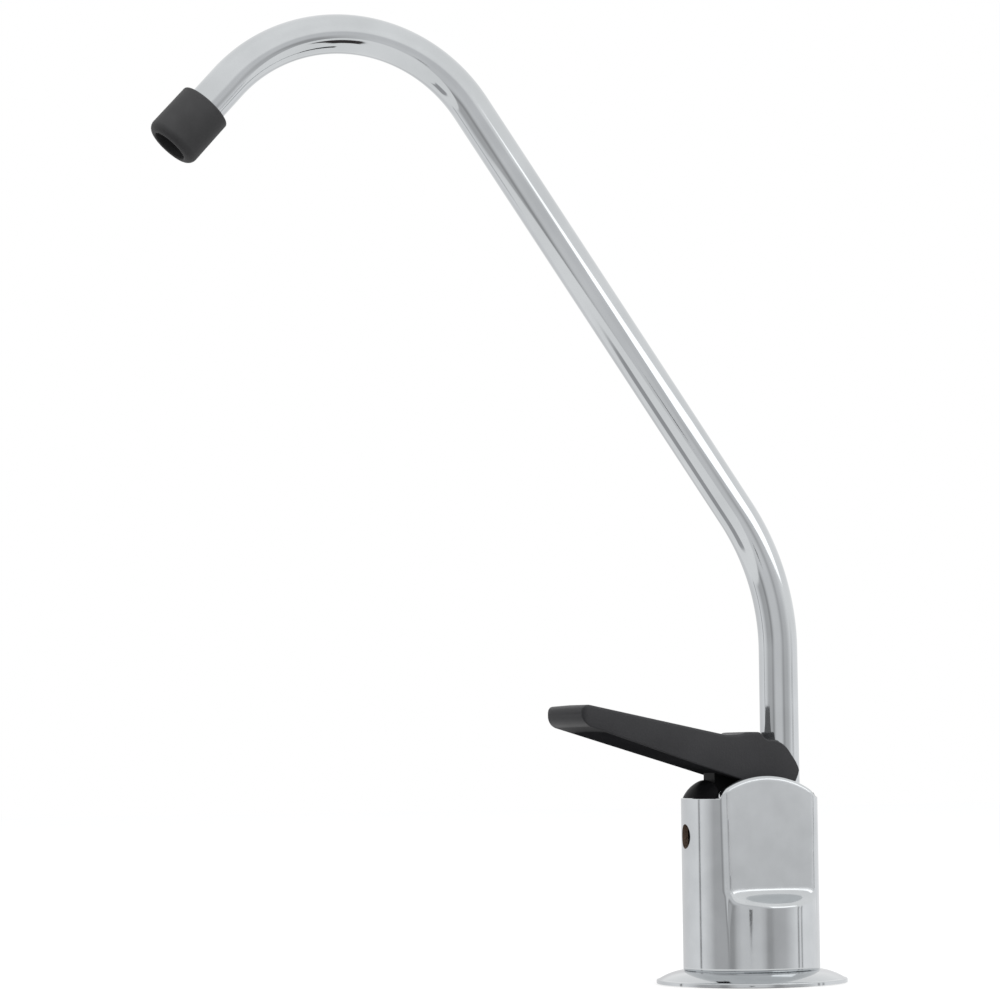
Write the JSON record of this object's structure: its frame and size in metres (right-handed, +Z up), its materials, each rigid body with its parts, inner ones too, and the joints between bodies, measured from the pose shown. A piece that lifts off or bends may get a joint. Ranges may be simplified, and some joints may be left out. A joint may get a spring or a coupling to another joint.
{
  "type": "drinking water tap",
  "caption": "Deck-mounted drinking water tap: press lever, spring-closed valve, swivelling gooseneck spout, flat-cheeked round body with an air gap vent, and threaded shank below.",
  "frame": {"origin": "middle of the worktop hole, on the worktop's upper face, under the axis of the body", "axes": "+Z up, -Y toward the front where the lever and the spout point at rest, +X to the right of someone who looks along +Y"},
  "size_m": [0.0466, 0.1712, 0.2918],
  "materials": {
    "chrome": "polished plate",
    "black_plastic": "fine moulded texture",
    "acetal": "natural white",
    "brass": "machined",
    "steel": "stainless",
    "rubber": "matte"
  },
  "bodies": {
    "base": {"bonnet": "black_plastic", "bonnet_screws": "steel", "body_shell": "chrome", "lever_pin": "steel", "valve_body": "acetal", "gland": "brass", "gland_o_ring": "rubber", "stem_o_ring": "rubber", "valve_seat": "brass", "seat_o_ring": "rubber", "stem_spring": "steel", "air_gap_base": "black_plastic", "escutcheon": "chrome", "base_gasket": "rubber", "shank": "brass", "locating_washer": "black_plastic", "lock_washer": "steel", "mounting_nut": "brass", "inlet_nut": "brass", "inlet_ferrule": "brass"},
    "spout": {"spout_tube": "chrome", "spout_tip": "black_plastic", "spout_foot": "brass", "spout_o_rings": "rubber", "spout_clip": "steel"},
    "lever": {"lever": "black_plastic"},
    "stem": {"valve_stem": "brass", "seat_washer": "rubber"}
  },
  "joints": [
    {"name": "spout_swivel", "type": "hinge", "parent": "base", "child": "spout", "pos_m": [0, 0.0082, 0.0375], "axis": [0, 0, 1], "continuous": true},
    {"name": "lever_press", "type": "hinge", "parent": "base", "child": "lever", "pos_m": [0, 0, 0.0436], "axis": [1, 0, 0], "range_deg": [0, 7], "stiffness_Nm_per_rad": 0.07, "springref_deg": -33.23},
    {"name": "stem_slide", "type": "slide", "parent": "base", "child": "stem", "axis": [0, 0, -1], "range_m": [0, 0.00065], "deforming": ["stem_spring"]}
  ],
  "couplings": [
    {"joint": "stem_slide", "follows": "lever_press", "m_per_rad": 0.0052}
  ]
}
